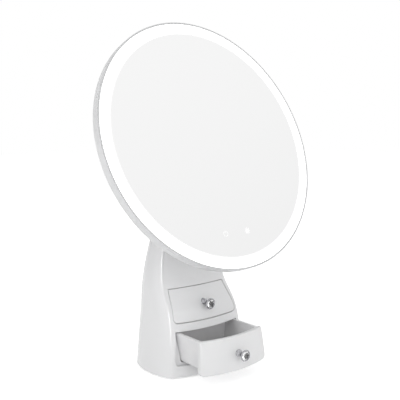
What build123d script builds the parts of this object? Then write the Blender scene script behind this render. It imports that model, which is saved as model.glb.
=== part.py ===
"""Tabletop vanity mirror: a lit round mirror head on a tapered column with two small drawers.

Millimetres, +Z up, the front faces -Y. The origin is the middle of the column's footprint, on the table.
The head is drawn as it stands at rest, tilted back, and the lower drawer as it stands at rest, part open.
"""
from build123d import *
from collections import namedtuple
import math
import os

os.makedirs("parts", exist_ok=True)

# ---------------------------------------------------------------- driving dimensions
# Column
base_width = 119.0
base_depth = 98.5
column_height = 226.0
shell_wall = 2.5
corner_radius = 2.6
neck_width = 42.0
neck_front = -16.0
neck_back = 9.5
neck_roof = 3.0
pad_thickness = 1.0
pad_margin = 5.0
base_plate_thickness = 2.5
ballast_size = (65.0, 72.0, 7.5)
ballast_y = 2.0

# Rear cover: a tapered panel in the column's back
cover_bottom_z = 16.0
cover_top_drop = 30.0
cover_bottom_half = 33.0
cover_top_half = 12.0
cover_corner = 5.0
ledge_width = 7.0
ledge_thickness = 2.2

# Mirror head, measured back from the front of the glass
mirror_radius = 140.0
bezel_lip = 1.4
bezel_proud = 0.3
glass_thickness = 3.0
seam_depth = 4.2
rim_depth = 12.7
rim_flat_in = 6.0
rim_corner = 4.0
dome_depth = 19.5
hub_radius = 58.0
hub_draft = 3.0
hub_depth = 28.0
housing_wall = 2.1
plate_depth = 9.6
plate_thickness = 1.6
led_board_thickness = 1.4
led_count = 72
led_size = (2.8, 3.5, 0.8)
ring_board_in = 6.0
ring_board_width = 13.0
touch_spacing = 30.6
touch_in = 39.6
touch_pad_radius = 4.0

# Tilt hinge
tilt_at_rest = 21.2
hinge_y = -3.3
hinge_rise = 11.5
hinge_reach = 48.0
pin_radius = 4.0
ear_radius = 11.5
ear_thickness = 7.5
barrel_radius = 10.5
barrel_length = 12.4
washer_thickness = 0.8
arm_flange_radius = 20.0
arm_flange_thickness = 3.5
arm_screw_circle = 15.0
stem_radius = 6.5
stem_length = 16.0
cap_radius = 7.6
cap_height = 7.5
cap_wall = 1.0

# Drawers: half widths of each front at its top and bottom edge, and the heights of those edges
upper_top_z = 92.5
upper_bottom_z = 58.9
upper_top_half = 39.0
upper_bottom_half = 45.0
lower_top_z = 49.6
lower_bottom_z = 13.8
lower_top_half = 43.8
lower_bottom_half = 47.2
lower_open = 41.3
front_thickness = 3.0
front_corner = 4.5
front_edge_round = 0.8
front_gap = 0.7
tray_rise = 3.0
tray_top_in = 1.2
tray_bottom_in = 8.7
tray_top_drop = 0.6
tray_wall = 1.8
tray_corner = 4.0
tray_back_y = 20.0
tray_gap = 0.6
bay_headroom = 2.0
bay_corner = 2.5
cabinet_wall = 2.0
cabinet_lap = 0.8
stop_lug_x = 25.0
stop_lug_width = 8.0
stop_lug_height = 1.9

# Knobs
knob_root_radius = 4.0
knob_neck_radius = 2.6
knob_face_radius = 6.3
knob_reach = 11.4
jewel_radius = 5.2
jewel_crown = 1.6
screw_boss_radius = 4.2
screw_boss_length = 7.0

# Fits and fasteners
running_gap = 0.05
seat_gap = 0.3
screw_radius = 1.5
screw_head_radius = 2.8
screw_head_height = 1.6
screw_gap = 0.1
boss_radius = 3.6

# ---------------------------------------------------------------- shared geometry
floor_z = pad_thickness + base_plate_thickness
cover_top_z = column_height - cover_top_drop
rim_flat_radius = mirror_radius - rim_flat_in
ring_outer_radius = mirror_radius - ring_board_in
ring_inner_radius = ring_outer_radius - ring_board_width
touch_drop = mirror_radius - touch_in
hinge_z = column_height + hinge_rise
tilt = math.radians(tilt_at_rest)
head_normal = Vector(0, -math.cos(tilt), math.sin(tilt))
head_up = Vector(0, math.sin(tilt), math.cos(tilt))
hinge_point = Vector(0, hinge_y, hinge_z)
mirror_centre = hinge_point + head_normal * hinge_reach

head_axis = Axis(mirror_centre, head_normal)
head_plane = Plane(origin=mirror_centre, x_dir=(1, 0, 0), z_dir=head_normal)
head_section = Plane(origin=mirror_centre, x_dir=(1, 0, 0), z_dir=-head_up)


def keep(name, builder):
    """Label a finished piece and write it out."""
    builder.part.label = name
    export_step(builder.part, f"parts/{name}.step")
    print(f"{name}: {len(builder.part.solids())} solid(s), {builder.part.volume / 1000:.2f} cm3")


def between(start, end, share):
    return start + (end - start) * share


# ---------------------------------------------------------------- column form
# Elevations of the column: share of the way from foot to neck, against share of the height.
front_shape = [
    (0, 0), (0.015, 0.09), (0.145, 0.2), (0.415, 0.31), (0.875, 0.405),
    (1.13, 0.51), (1.24, 0.64), (1.21, 0.82), (1, 1),
]
side_shape = [(0, 0), (0.05, 0.17), (0.20, 0.4), (0.46, 0.63), (0.815, 0.86), (1, 1)]
back_shape = [(0, 0), (0.09, 0.14), (0.235, 0.4), (0.46, 0.63), (0.77, 0.86), (1, 1)]
# How far the front bows forward of its corners, in mm, against share of the height.
bow_shape = [(11.0, 0), (8.6, 0.23), (4.4, 0.405), (3.2, 0.57), (4.8, 0.84), (7.0, 1)]
corner_share = 0.875
widest_share = 0.42
flank_pull = ((1.10, 0.6), (1.06, 0.72), (0.77, 1.0))
form_levels = 17


def elevation(foot, neck, shape):
    """A smooth line up the column, in the XZ plane, from foot to neck."""
    with BuildLine(Plane.XZ) as line:
        Spline(*[(between(foot, neck, share), height * column_height) for share, height in shape])
    return line.edge()


front_line = elevation(-base_depth / 2, neck_front, front_shape)
side_line = elevation(base_width / 2, neck_width / 2, side_shape)
back_line = elevation(base_depth / 2, neck_back, back_shape)
bow_line = elevation(0, 1, bow_shape)


def at_height(line, height):
    """How far out a rising line stands at a height."""
    low, high = 0.0, 1.0
    for _ in range(24):
        middle = (low + high) / 2
        if (line @ middle).Z < height:
            low = middle
        else:
            high = middle
    return (line @ low).X


def column_outline(height, inset=0.0, radius=0.0):
    """Plan of the column at a height, drawn in by inset, with its front corners rounded."""
    front = at_height(front_line, height) + inset
    back = at_height(back_line, height) - inset
    half = at_height(side_line, height)
    corner = (half * corner_share - inset, front + at_height(bow_line, height))
    half -= inset
    widest_y = between(corner[1], back, widest_share)
    with BuildSketch(Plane.XY.offset(height)) as outline:
        with BuildLine():
            ThreePointArc((-corner[0], corner[1]), (0, front), corner)
            flank = Bezier(
                corner,
                (half * flank_pull[0][0], between(corner[1], widest_y, flank_pull[0][1])),
                (half * flank_pull[1][0], between(widest_y, back, flank_pull[1][1])),
                (half * flank_pull[2][0], back),
                (0, back),
            )
            mirror(flank, about=Plane.YZ)
        make_face()
        if radius:
            fillet(outline.vertices().group_by(Axis.Y)[0], radius)
    return outline.sketch


def column_form(inset=0.0, top=column_height, bottom=pad_thickness, radius=0.0):
    """The column as one solid from bottom to top, drawn in by inset."""
    with BuildPart() as form:
        for step in range(form_levels):
            height = between(bottom, top, step / (form_levels - 1))
            add(column_outline(height, inset, radius))
        loft()
    return form.part


below_foot = -1.0
outer_form = column_form(radius=corner_radius)


def inner_form(inset):
    """The column drawn in by inset, open at the foot and stopping under the neck's roof."""
    return column_form(inset, top=column_height - neck_roof, bottom=below_foot)


def surface_y(x, height, back=False):
    """Where the column's front, or its back, stands at a place seen from the front."""
    hits = outer_form.find_intersection_points(Axis((x, -2 * base_depth, height), (0, 1, 0)))
    depths = sorted(point.Y for point, _ in hits)
    return depths[-1] if back else depths[0]


hollow = inner_form(shell_wall)

# ---------------------------------------------------------------- drawer outlines
Drawer = namedtuple("Drawer", "name top bottom top_half bottom_half open")
drawers = (
    Drawer("upper", upper_top_z, upper_bottom_z, upper_top_half, upper_bottom_half, 0.0),
    Drawer("lower", lower_top_z, lower_bottom_z, lower_top_half, lower_bottom_half, lower_open),
)
ahead = -base_depth


def drawer_prism(drawer, back, grow, top, corner):
    """A drawer's front view, grown all round and given a top, swept from ahead of the column to back."""
    with BuildPart() as prism:
        with BuildSketch(Plane.XZ.offset(-back)) as view:
            with BuildLine():
                Polyline(
                    (-drawer.top_half - grow, top), (-drawer.bottom_half - grow, drawer.bottom - grow),
                    (drawer.bottom_half + grow, drawer.bottom - grow), (drawer.top_half + grow, top),
                    close=True,
                )
            make_face()
            fillet(view.vertices().group_by(Axis.Y)[0], corner)
        extrude(amount=back - ahead)
    return prism.part


def tray_prism(drawer, back, grow, top, corner):
    """The same for a drawer's tray, which is narrower than its front and tapers downwards."""
    tray = drawer._replace(
        top_half=drawer.top_half - tray_top_in,
        bottom_half=drawer.bottom_half - tray_bottom_in,
        bottom=drawer.bottom + tray_rise,
    )
    return drawer_prism(tray, back, grow, top, corner)


def rod(radius, start_y, end_y, x, height):
    """A round rod along Y."""
    with BuildPart() as bar:
        with BuildSketch(Plane.XZ.offset(-end_y)):
            with Locations((x, height)):
                Circle(radius)
        extrude(amount=end_y - start_y)
    return bar.part


# ---------------------------------------------------------------- column shell
def cover_prism(grow):
    """Front view of the rear cover, swept through the column's back wall."""
    with BuildPart() as prism:
        with BuildSketch(Plane.XZ.offset(-base_depth)) as window:
            with BuildLine():
                Polyline(
                    (-cover_bottom_half - grow, cover_bottom_z - grow),
                    (cover_bottom_half + grow, cover_bottom_z - grow),
                    (cover_top_half + grow, cover_top_z + grow),
                    (-cover_top_half - grow, cover_top_z + grow),
                    close=True,
                )
            make_face()
            fillet(window.vertices(), max(cover_corner + grow, 0.8))
        extrude(amount=base_depth)
    return prism.part


cover_screw_in = 4.0
cover_screw_spots = [
    (side * (half - cover_screw_in), height)
    for side in (-1, 1)
    for half, height in (
        (cover_bottom_half, cover_bottom_z + cover_screw_in),
        (cover_top_half, cover_top_z - cover_screw_in),
    )
]
cover_screw_length = 4.2
cover_screw_sink = 1.3
cover_head_radius = 2.2
cover_head_height = 1.1
base_boss_in = 9.1
base_boss_x = base_width / 2 - base_boss_in
base_boss_spots = [(x, y) for x in (-base_boss_x, base_boss_x) for y in (-14.0, 8.0)]
base_boss_height = 8.5
base_screw_length = 9.0
plate_gap = 0.5
rib_width = 4.0
head_sink = 1.5


def screws(spots, base_z, head_radius=screw_head_radius, length=base_screw_length):
    """Upright screws: heads upwards from base_z, shanks above them. Leaves its result in a part."""
    with BuildPart() as group:
        with BuildSketch(Plane.XY.offset(base_z)):
            with Locations(*spots):
                Circle(head_radius)
        extrude(amount=head_sink - screw_gap)
        with BuildSketch(Plane.XY.offset(base_z)):
            with Locations(*spots):
                Circle(screw_radius)
        extrude(amount=length)
    return group


with BuildPart() as cover_ledge:
    add(hollow)
    add(inner_form(shell_wall + ledge_thickness), mode=Mode.SUBTRACT)
    add(cover_prism(shell_wall), mode=Mode.INTERSECT)
    add(cover_prism(-ledge_width), mode=Mode.SUBTRACT)

cover_screw_seats = [
    (x, height, surface_y(x, height, back=True) - cover_screw_sink) for x, height in cover_screw_spots
]
roof_z = column_height - neck_roof
ear_gap = barrel_length + 2 * washer_thickness + 4 * running_gap
ear_middle_x = ear_gap / 2 + ear_thickness / 2
yoke_screw_spots = [(-ear_middle_x, hinge_y), (ear_middle_x, hinge_y)]
pin_clear = 0.5
yoke_screw_length = neck_roof + hinge_rise - pin_radius - pin_clear

with BuildPart() as column_shell:
    add(outer_form)
    add(hollow, mode=Mode.SUBTRACT)
    add(cover_prism(seat_gap), mode=Mode.SUBTRACT)
    add(cover_ledge.part)
    # bosses for the base plate's screws, grown out of the side walls
    with BuildSketch(Plane.XY.offset(floor_z)):
        with Locations(*base_boss_spots):
            Circle(boss_radius)
        with Locations(*[(x + math.copysign(rib_width, x), y) for x, y in base_boss_spots]):
            Rectangle(2 * rib_width, rib_width)
    extrude(amount=base_boss_height)
    add(outer_form, mode=Mode.INTERSECT)
    with BuildSketch(Plane.XY.offset(floor_z)):
        with Locations(*base_boss_spots):
            Circle(screw_radius + screw_gap)
    extrude(amount=base_screw_length, mode=Mode.SUBTRACT)
    # the two drawer openings
    for drawer in drawers:
        add(
            drawer_prism(drawer, 0, front_gap, drawer.top + front_gap, front_corner + front_gap),
            mode=Mode.SUBTRACT,
        )
    # the neck's roof takes the yoke's stem and its two screws
    with BuildSketch(Plane.XY.offset(roof_z)):
        with Locations((0, hinge_y)):
            Circle(stem_radius + screw_gap)
        with Locations(*yoke_screw_spots):
            Circle(screw_radius + screw_gap)
    extrude(amount=neck_roof, mode=Mode.SUBTRACT)
    for x, height, seat_y in cover_screw_seats:
        add(rod(screw_radius + screw_gap, seat_y - cover_screw_length, seat_y, x, height), mode=Mode.SUBTRACT)
keep("column_shell", column_shell)

with BuildPart() as rear_cover:
    add(outer_form)
    add(hollow, mode=Mode.SUBTRACT)
    add(cover_prism(0), mode=Mode.INTERSECT)
    for x, height, seat_y in cover_screw_seats:
        add(rod(screw_radius + screw_gap, seat_y - base_depth / 4, seat_y, x, height), mode=Mode.SUBTRACT)
        add(rod(cover_head_radius + screw_gap, seat_y, base_depth, x, height), mode=Mode.SUBTRACT)
keep("rear_cover", rear_cover)

with BuildPart() as rear_cover_screws:
    for x, height, seat_y in cover_screw_seats:
        add(rod(screw_radius, seat_y - cover_screw_length, seat_y, x, height))
        add(rod(cover_head_radius, seat_y, seat_y + cover_head_height, x, height))
keep("rear_cover_screws", rear_cover_screws)

# ---------------------------------------------------------------- foot: plate, pad and ballast
leg_spots = [(x, y) for x in (-37.0, 37.0) for y in (-20.0, 17.0)]
leg_radius = 4.0
ballast_screw_spots = [(-18.0, ballast_y), (18.0, ballast_y)]
plate_screw_spots = base_boss_spots + leg_spots + ballast_screw_spots
ballast_screw_length = base_plate_thickness + 4.0

with BuildPart() as base_plate:
    add(column_outline(pad_thickness, shell_wall + plate_gap))
    extrude(amount=base_plate_thickness)
    with BuildSketch(Plane.XY.offset(pad_thickness)):
        with Locations(*plate_screw_spots):
            Circle(screw_radius + screw_gap)
    extrude(amount=base_plate_thickness, mode=Mode.SUBTRACT)
    with BuildSketch(Plane.XY.offset(pad_thickness)):
        with Locations(*plate_screw_spots):
            Circle(screw_head_radius + screw_gap)
    extrude(amount=head_sink, mode=Mode.SUBTRACT)
keep("base_plate", base_plate)

with BuildPart() as anti_slip_pad:
    add(column_outline(0, pad_margin))
    extrude(amount=pad_thickness)
keep("anti_slip_pad", anti_slip_pad)

with BuildPart() as ballast_plate:
    with BuildSketch(Plane.XY.offset(floor_z)):
        with Locations((0, ballast_y)):
            RectangleRounded(ballast_size[0], ballast_size[1], 4)
        with Locations(*ballast_screw_spots):
            Circle(screw_radius + screw_gap, mode=Mode.SUBTRACT)
    extrude(amount=ballast_size[2])
keep("ballast_plate", ballast_plate)

keep("base_plate_screws", screws(base_boss_spots, pad_thickness))
keep("cabinet_screws", screws(leg_spots, pad_thickness))
keep("ballast_screws", screws(ballast_screw_spots, pad_thickness, length=ballast_screw_length))

# ---------------------------------------------------------------- drawer cabinet
cabinet_grow = front_gap + cabinet_lap
cabinet_back_y = tray_back_y + 2 * cabinet_wall
bumper_radius = 2.5
upper_drawer, lower_drawer = drawers
cabinet_roof = bay_headroom + cabinet_wall
shelf_slot = (70.0, 2.6)
shelf_middle_z = (lower_drawer.top + bay_headroom + upper_drawer.bottom) / 2
cabinet_front_form = inner_form(front_thickness + seat_gap)

with BuildPart() as drawer_cabinet:
    add(drawer_prism(
        upper_drawer, cabinet_back_y, cabinet_grow, upper_drawer.top + cabinet_roof, front_corner))
    add(drawer_prism(
        lower_drawer, cabinet_back_y, cabinet_grow, upper_drawer.bottom - cabinet_grow + 0.2, front_corner))
    for drawer in drawers:
        add(
            tray_prism(
                drawer, tray_back_y + cabinet_wall, tray_gap, drawer.top + bay_headroom, bay_corner),
            mode=Mode.SUBTRACT,
        )
    add(cabinet_front_form, mode=Mode.INTERSECT)
    # the shelf between the bays is hollow from behind
    with BuildSketch(Plane.XZ.offset(-cabinet_back_y)):
        with Locations((0, shelf_middle_z)):
            Rectangle(*shelf_slot)
    extrude(amount=cabinet_back_y, mode=Mode.SUBTRACT)
    # legs down to the base plate
    leg_height = lower_drawer.bottom - cabinet_grow - floor_z
    with BuildSketch(Plane.XY.offset(floor_z)):
        with Locations(*leg_spots):
            Circle(leg_radius)
    extrude(amount=leg_height)
    with BuildSketch(Plane.XY.offset(floor_z)):
        with Locations(*leg_spots):
            Circle(screw_radius + screw_gap)
    extrude(amount=base_screw_length - base_plate_thickness, mode=Mode.SUBTRACT)
keep("drawer_cabinet", drawer_cabinet)

with BuildPart() as bay_bumpers:
    for drawer in drawers:
        bumper_z = (drawer.top + drawer.bottom) / 2
        for x in (-stop_lug_x, stop_lug_x):
            add(rod(bumper_radius, tray_back_y + running_gap, tray_back_y + cabinet_wall, x, bumper_z))
keep("bay_bumpers", bay_bumpers)

# ---------------------------------------------------------------- drawers
tray_form = inner_form(front_thickness)
tray_hollow_form = inner_form(front_thickness + tray_wall)
rim_over = 20.0

for drawer in drawers:
    slid = Location((0, -drawer.open, 0))
    knob_z = (drawer.top + drawer.bottom) / 2
    face_y = surface_y(0, knob_z)
    seat_y = face_y + screw_boss_length
    tray_top = drawer.top - tray_top_drop

    with BuildPart() as box_hollow:
        add(tray_prism(
            drawer, tray_back_y - tray_wall, -tray_wall, tray_top + rim_over, tray_corner - tray_wall))
        add(tray_hollow_form, mode=Mode.INTERSECT)
    with BuildPart() as closed_box:
        add(tray_prism(drawer, tray_back_y, 0, tray_top, tray_corner))
        add(tray_form, mode=Mode.INTERSECT)
        add(box_hollow.part, mode=Mode.SUBTRACT)
        add(rod(screw_boss_radius, face_y + front_thickness, seat_y, 0, knob_z))
        add(tray_form, mode=Mode.INTERSECT)
        # lugs that stop the drawer behind the shell's front wall
        with BuildSketch(Plane.XY.offset(tray_top)):
            with Locations((-stop_lug_x, tray_back_y - tray_wall / 2), (stop_lug_x, tray_back_y - tray_wall / 2)):
                Rectangle(stop_lug_width, tray_wall)
        extrude(amount=stop_lug_height)
        add(rod(screw_radius + screw_gap, face_y, seat_y, 0, knob_z), mode=Mode.SUBTRACT)
    with BuildPart() as drawer_box:
        add(closed_box.part.moved(slid))
    keep(f"{drawer.name}_drawer_box", drawer_box)

    with BuildPart() as closed_front:
        add(drawer_prism(drawer, tray_back_y, 0, drawer.top, front_corner))
        add(outer_form, mode=Mode.INTERSECT)
        add(tray_form, mode=Mode.SUBTRACT)
        face_edges = closed_front.faces().sort_by(Axis.Y)[0].edges()
        fillet(face_edges, front_edge_round)
        add(rod(screw_radius + screw_gap, face_y - front_corner, seat_y, 0, knob_z), mode=Mode.SUBTRACT)
    with BuildPart() as drawer_front:
        add(closed_front.part.moved(slid))
    keep(f"{drawer.name}_drawer_front", drawer_front)

    # the knob is turned about a line that runs forward from the front's face
    knob_section = Plane(origin=(0, face_y, knob_z), x_dir=(0, 0, 1), z_dir=(1, 0, 0))
    knob_axis = Axis((0, face_y, knob_z), (0, -1, 0))
    cup_floor = knob_reach - 1.6
    with BuildPart() as closed_knob:
        with BuildSketch(knob_section):
            with BuildLine():
                Polyline((0, -front_thickness), (knob_root_radius, -front_thickness), (knob_root_radius, 1.2))
                Line((knob_root_radius, 1.2), (knob_neck_radius, 2.6))
                Line((knob_neck_radius, 2.6), (knob_neck_radius, 4.4))
                Spline(
                    (knob_neck_radius, 4.4), (knob_face_radius, knob_reach - 1.0),
                    tangents=((0, 1), (0.5, 1)))
                Polyline(
                    (knob_face_radius, knob_reach - 1.0), (knob_face_radius, knob_reach - 0.3),
                    (knob_face_radius - 0.5, knob_reach), (jewel_radius, knob_reach),
                    (jewel_radius, cup_floor), (0, cup_floor), (0, -front_thickness))
            make_face()
        revolve(axis=knob_axis)
        add(outer_form, mode=Mode.SUBTRACT)
        add(rod(screw_radius + running_gap, face_y - 6.0, seat_y, 0, knob_z), mode=Mode.SUBTRACT)
    with BuildPart() as knob:
        add(closed_knob.part.moved(slid))
    keep(f"{drawer.name}_knob", knob)

    with BuildPart() as closed_jewel:
        with BuildSketch(knob_section):
            with BuildLine():
                jewel_edge = jewel_radius - running_gap
                Polyline(
                    (0, knob_reach + jewel_crown), (0, cup_floor), (jewel_edge, cup_floor),
                    (jewel_edge, knob_reach))
                TangentArc((0, knob_reach + jewel_crown), (jewel_edge, knob_reach), tangent=(1, 0))
            make_face()
        revolve(axis=knob_axis)
    with BuildPart() as jewel:
        add(closed_jewel.part.moved(slid))
    keep(f"{drawer.name}_knob_jewel", jewel)

    with BuildPart() as closed_screw:
        add(rod(screw_radius, face_y - 5.5, seat_y, 0, knob_z))
        add(rod(screw_head_radius, seat_y, seat_y + screw_head_height, 0, knob_z))
    with BuildPart() as knob_screw:
        add(closed_screw.part.moved(slid))
    keep(f"{drawer.name}_knob_screw", knob_screw)

# ---------------------------------------------------------------- tilt hinge, fixed half
yoke_base = 3.4
yoke_inset = 0.6
pin_head_radius = 6.0
pin_head_height = 2.4
nut_radius = 6.2
nut_thickness = 4.4
ear_outer_x = ear_gap / 2 + ear_thickness
cap_outer_x = ear_outer_x + cap_height


def cross_rod(radius, start_x, end_x):
    """A round rod on the hinge's axis."""
    with BuildPart() as bar:
        with BuildSketch(Plane.YZ.offset(start_x)):
            with Locations((hinge_y, hinge_z)):
                Circle(radius)
        extrude(amount=end_x - start_x)
    return bar.part


with BuildPart() as hinge_yoke:
    add(column_outline(column_height, yoke_inset))
    extrude(amount=yoke_base)
    with BuildSketch(Plane.YZ.offset(-ear_outer_x)) as ear_view:
        with Locations((hinge_y, hinge_z)):
            Circle(ear_radius)
        with Locations((hinge_y, column_height + hinge_rise / 2)):
            Rectangle(2 * ear_radius, hinge_rise)
    extrude(amount=2 * ear_outer_x)
    with BuildSketch(Plane.XY.offset(column_height - stem_length)):
        with Locations((0, hinge_y)):
            Circle(stem_radius)
    extrude(amount=stem_length)
    # the gap between the ears clears the barrel and the arm
    with BuildSketch(Plane.XY.offset(column_height + yoke_base)):
        Rectangle(ear_gap, base_depth)
    extrude(amount=2 * hinge_rise, mode=Mode.SUBTRACT)
    add(cross_rod(barrel_radius + running_gap * 8, -ear_gap / 2, ear_gap / 2), mode=Mode.SUBTRACT)
    add(cross_rod(pin_radius + running_gap / 2, -ear_outer_x, ear_outer_x), mode=Mode.SUBTRACT)
    with BuildSketch(Plane.XY.offset(column_height)):
        with Locations(*yoke_screw_spots):
            Circle(screw_radius + screw_gap)
    extrude(amount=yoke_screw_length - neck_roof, mode=Mode.SUBTRACT)
keep("hinge_yoke", hinge_yoke)

with BuildPart() as yoke_screws:
    with BuildSketch(Plane.XY.offset(roof_z - screw_head_height)):
        with Locations(*yoke_screw_spots):
            Circle(screw_head_radius)
    extrude(amount=screw_head_height)
    with BuildSketch(Plane.XY.offset(roof_z)):
        with Locations(*yoke_screw_spots):
            Circle(screw_radius)
    extrude(amount=yoke_screw_length - screw_gap)
keep("yoke_screws", yoke_screws)

with BuildPart() as hinge_pin:
    add(cross_rod(pin_radius, -ear_outer_x, ear_outer_x + nut_thickness + 1.0))
    add(cross_rod(pin_head_radius, -ear_outer_x - pin_head_height, -ear_outer_x))
keep("hinge_pin", hinge_pin)

with BuildPart() as hinge_nut:
    with BuildSketch(Plane.YZ.offset(ear_outer_x)):
        with Locations((hinge_y, hinge_z)):
            RegularPolygon(nut_radius, 6)
            Circle(pin_radius + running_gap / 2, mode=Mode.SUBTRACT)
    extrude(amount=nut_thickness)
keep("hinge_nut", hinge_nut)

with BuildPart() as friction_washers:
    for start_x in (barrel_length / 2 + running_gap, -barrel_length / 2 - running_gap - washer_thickness):
        add(cross_rod(barrel_radius - 1.5, start_x, start_x + washer_thickness))
    add(cross_rod(pin_radius + running_gap, -ear_gap / 2, ear_gap / 2), mode=Mode.SUBTRACT)
keep("friction_washers", friction_washers)

with BuildPart() as hinge_caps:
    for side in (-1, 1):
        add(cross_rod(cap_radius, side * ear_outer_x, side * cap_outer_x))
    cap_rims = hinge_caps.edges().filter_by(GeomType.CIRCLE)
    fillet([rim for rim in cap_rims if abs(abs(rim.center().X) - cap_outer_x) < 0.1], 1.2)
    for side in (-1, 1):
        add(
            cross_rod(cap_radius - cap_wall, side * ear_outer_x, side * (cap_outer_x - cap_wall)),
            mode=Mode.SUBTRACT,
        )
keep("hinge_caps", hinge_caps)

# ---------------------------------------------------------------- head: planes and repeated shapes
def on_head(depth):
    """A plane parallel to the glass, at a depth behind its front."""
    return head_plane.offset(-depth)


def head_cylinders(spots, radius, depth, front_depth):
    """Round studs square to the glass, from a depth forward to a smaller depth."""
    with BuildPart() as studs:
        with BuildSketch(on_head(depth)):
            with Locations(*spots):
                Circle(radius)
        extrude(amount=depth - front_depth)
    return studs.part


def head_ring(outer, inner, depth, front_depth):
    """A flat ring or, with no inner radius, a disc, square to the glass."""
    with BuildPart() as ring:
        with BuildSketch(on_head(depth)):
            Circle(outer)
            if inner:
                Circle(inner, mode=Mode.SUBTRACT)
        extrude(amount=depth - front_depth)
    return ring.part


def around(radius, count, first=0.0):
    """Evenly spaced places on a circle about the head's axis."""
    angles = [math.radians(first + 360 * step / count) for step in range(count)]
    return [(radius * math.cos(angle), radius * math.sin(angle)) for angle in angles]


# ---------------------------------------------------------------- rear housing
housing_floor_depth = hub_depth - housing_wall
bezel_bore = mirror_radius - bezel_lip
skirt_radius = mirror_radius - housing_wall - screw_gap
skirt_thickness = 0.9
skirt_depth = 7.5
ledge_radius = skirt_radius - skirt_thickness
arm_boss_height = 5.0
arm_screw_spots = around(arm_screw_circle, 4, 45)
plate_boss_circle = ring_inner_radius - 8.0
plate_boss_spots = around(plate_boss_circle, 6, 30)
plate_boss_root = 14.0
board_size = (56.0, 24.0, 1.6)
board_drop = 31.0
board_depth = 21.0
board_stud_radius = 2.4
board_stud_spots = [(x, -board_drop + y) for x in (-24.0, 24.0) for y in (-8.5, 8.5)]
port_size = (8.9, 3.2)
port_wall = 0.4
port_drop = 38.0
port_recess = 0.2


def housing_profile(inset):
    """Half section of the housing's back, drawn in by inset, out to the seam with the bezel."""
    with BuildSketch(head_section) as profile:
        with BuildLine():
            Polyline(
                (0, -hub_depth + inset), (hub_radius - hub_draft - inset, -hub_depth + inset),
                (hub_radius - inset, -dome_depth + inset))
            ThreePointArc(
                (hub_radius - inset, -dome_depth + inset),
                (between(hub_radius, rim_flat_radius, 0.5), -between(dome_depth, rim_depth, 0.36) + inset),
                (rim_flat_radius, -rim_depth + inset))
            Polyline(
                (rim_flat_radius, -rim_depth + inset), (mirror_radius - inset, -rim_depth + inset),
                (mirror_radius - inset, -seam_depth + inset), (0, -seam_depth + inset),
                (0, -hub_depth + inset))
        make_face()
        corners = profile.vertices()
        rim_edge = corners.sort_by_distance(head_section.from_local_coords((mirror_radius, -rim_depth)))[0]
        fillet(rim_edge, rim_corner - inset / 2)
        hub_edge = profile.vertices().sort_by_distance(
            head_section.from_local_coords((hub_radius - hub_draft, -hub_depth)))[0]
        fillet(hub_edge, max(3.0 - inset, 0.8))
    return profile.sketch


with BuildPart() as housing_hollow:
    add(housing_profile(housing_wall))
    revolve(axis=head_axis)

with BuildPart() as rear_housing:
    add(housing_profile(0))
    revolve(axis=head_axis)
    add(housing_hollow.part, mode=Mode.SUBTRACT)
    add(head_cylinders(arm_screw_spots, boss_radius, hub_depth - 1, housing_floor_depth - arm_boss_height))
    add(head_cylinders(plate_boss_spots, boss_radius, plate_boss_root, plate_depth))
    add(head_cylinders(board_stud_spots, board_stud_radius, hub_depth - 1, board_depth))
    arm_bore_end = housing_floor_depth - arm_boss_height + 1
    add(head_cylinders(arm_screw_spots, screw_radius + screw_gap, hub_depth, arm_bore_end), mode=Mode.SUBTRACT)
    add(
        head_cylinders(plate_boss_spots, screw_radius + screw_gap, plate_boss_root - 0.6, plate_depth),
        mode=Mode.SUBTRACT,
    )
    add(head_cylinders(board_stud_spots, 1.1, housing_floor_depth - 0.5, board_depth), mode=Mode.SUBTRACT)
    with BuildSketch(on_head(hub_depth)):
        with Locations((0, -port_drop)):
            SlotOverall(port_size[0] + seat_gap, port_size[1] + seat_gap)
    extrude(amount=housing_wall, mode=Mode.SUBTRACT)
keep("rear_housing", rear_housing)

# ---------------------------------------------------------------- bezel and glass
with BuildPart() as bezel_ring:
    with BuildSketch(head_section) as bezel_profile:
        with BuildLine():
            Polyline(
                (mirror_radius, -seam_depth), (mirror_radius, bezel_proud), (bezel_bore, bezel_proud),
                (bezel_bore, -glass_thickness), (ledge_radius, -glass_thickness),
                (ledge_radius, -skirt_depth), (skirt_radius, -skirt_depth), (skirt_radius, -seam_depth),
                close=True)
        make_face()
        front_edge = bezel_profile.vertices().sort_by_distance(
            head_section.from_local_coords((mirror_radius, bezel_proud)))[0]
        fillet(front_edge, 0.8)
    revolve(axis=head_axis)
keep("bezel_ring", bezel_ring)

with BuildPart() as mirror_glass:
    add(head_ring(bezel_bore - screw_gap, 0, glass_thickness, 0))
keep("mirror_glass", mirror_glass)

# ---------------------------------------------------------------- light ring and what backs the glass
diffuser_thickness = 2.0
diffuser_inner = ring_inner_radius - 2.0
foam_outer = plate_boss_circle - 5.0
foam_rings = ((foam_outer, foam_outer - 10.0), (45.0, 30.0))
touch_window = (48.0, 16.0)
touch_board_size = (44.0, 12.0, 1.2)
plate_front = plate_depth - plate_thickness
led_depth = plate_front - led_board_thickness
led_circle = between(ring_inner_radius, ring_outer_radius, 0.5)
lead_radius = 0.6
lead_hole_radius = 1.6
led_lead_x = -20.0
led_lead_spot = (led_lead_x, -math.sqrt((ring_inner_radius + 3.0) ** 2 - led_lead_x ** 2))
touch_lead_spot = (8.0, -touch_drop)

with BuildPart() as light_diffuser:
    add(head_ring(ledge_radius - screw_gap, diffuser_inner, glass_thickness + diffuser_thickness, glass_thickness))
keep("light_diffuser", light_diffuser)

with BuildPart() as mirror_foam:
    with BuildSketch(on_head(plate_front)):
        for outer, inner in foam_rings:
            Circle(outer)
            Circle(inner, mode=Mode.SUBTRACT)
        with Locations((0, -touch_drop)):
            Rectangle(*touch_window, mode=Mode.SUBTRACT)
    extrude(amount=plate_front - glass_thickness)
keep("mirror_foam", mirror_foam)

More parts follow.
